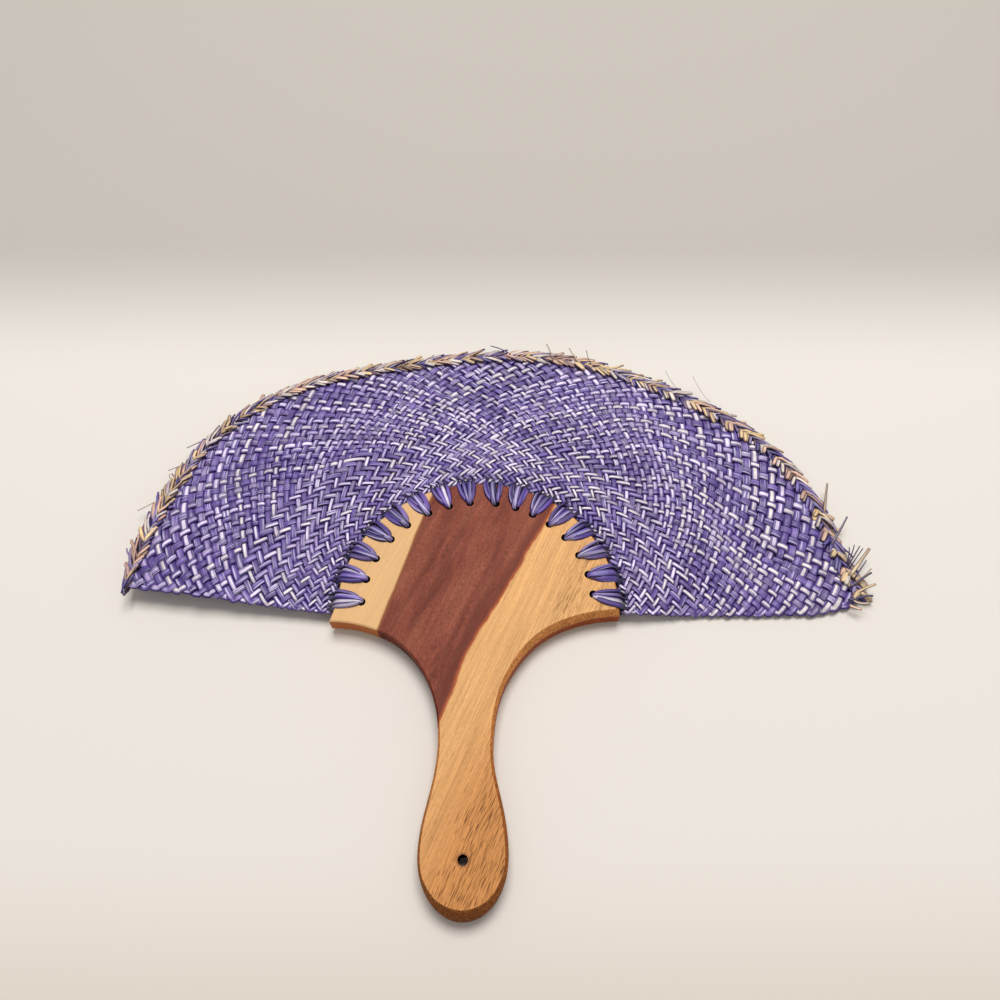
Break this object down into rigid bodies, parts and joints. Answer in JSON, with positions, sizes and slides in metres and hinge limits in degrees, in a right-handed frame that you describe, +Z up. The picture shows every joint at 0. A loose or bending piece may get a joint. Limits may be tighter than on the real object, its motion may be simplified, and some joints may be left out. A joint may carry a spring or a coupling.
{
  "type": "palm leaf hand fan",
  "caption": "Rigid hand fan: a wide half-round blade plaited from dyed palm leaf, with a braided rim, laced through drilled holes to a flat carved wooden handle with a hanging hole.",
  "frame": {"origin": "middle of the box's underside: the fan lies on its back, on the lacing's rear loops", "axes": "+Y from the grip to the blade's rim, +X across the blade to the right, +Z up out of the front face"},
  "size_m": [0.4286, 0.3592, 0.0151],
  "materials": {
    "carved_wood": "satin",
    "dyed_leaf": "satin",
    "mixed_leaf": "matte"
  },
  "bodies": {
    "root": {"handle": "carved_wood", "woven_blade": "dyed_leaf", "rim_plait": "mixed_leaf", "leaf_strip_01a": "dyed_leaf", "leaf_strip_01b": "dyed_leaf", "leaf_strip_01c": "dyed_leaf", "leaf_strip_02a": "dyed_leaf", "leaf_strip_02b": "dyed_leaf", "leaf_strip_02c": "dyed_leaf", "leaf_strip_03a": "dyed_leaf", "leaf_strip_03b": "dyed_leaf", "leaf_strip_03c": "dyed_leaf", "leaf_strip_04a": "dyed_leaf", "leaf_strip_04b": "dyed_leaf", "leaf_strip_04c": "dyed_leaf", "leaf_strip_05a": "dyed_leaf", "leaf_strip_05b": "dyed_leaf", "leaf_strip_05c": "dyed_leaf", "leaf_strip_06a": "dyed_leaf", "leaf_strip_06b": "dyed_leaf", "leaf_strip_06c": "dyed_leaf", "leaf_strip_07a": "dyed_leaf", "leaf_strip_07b": "dyed_leaf", "leaf_strip_07c": "dyed_leaf", "leaf_strip_08a": "dyed_leaf", "leaf_strip_08b": "dyed_leaf", "leaf_strip_08c": "dyed_leaf", "leaf_strip_09a": "dyed_leaf", "leaf_strip_09b": "dyed_leaf", "leaf_strip_09c": "dyed_leaf", "leaf_strip_10a": "dyed_leaf", "leaf_strip_10b": "dyed_leaf", "leaf_strip_10c": "dyed_leaf", "leaf_strip_11a": "dyed_leaf", "leaf_strip_11b": "dyed_leaf", "leaf_strip_11c": "dyed_leaf", "leaf_strip_12a": "dyed_leaf", "leaf_strip_12b": "dyed_leaf", "leaf_strip_12c": "dyed_leaf", "leaf_strip_13a": "dyed_leaf", "leaf_strip_13b": "dyed_leaf", "leaf_strip_13c": "dyed_leaf", "leaf_strip_14a": "dyed_leaf", "leaf_strip_14b": "dyed_leaf", "leaf_strip_14c": "dyed_leaf", "leaf_strip_15a": "dyed_leaf", "leaf_strip_15b": "dyed_leaf", "leaf_strip_15c": "dyed_leaf", "leaf_strip_16a": "dyed_leaf", "leaf_strip_16b": "dyed_leaf", "leaf_strip_16c": "dyed_leaf"}
  },
  "joints": []
}
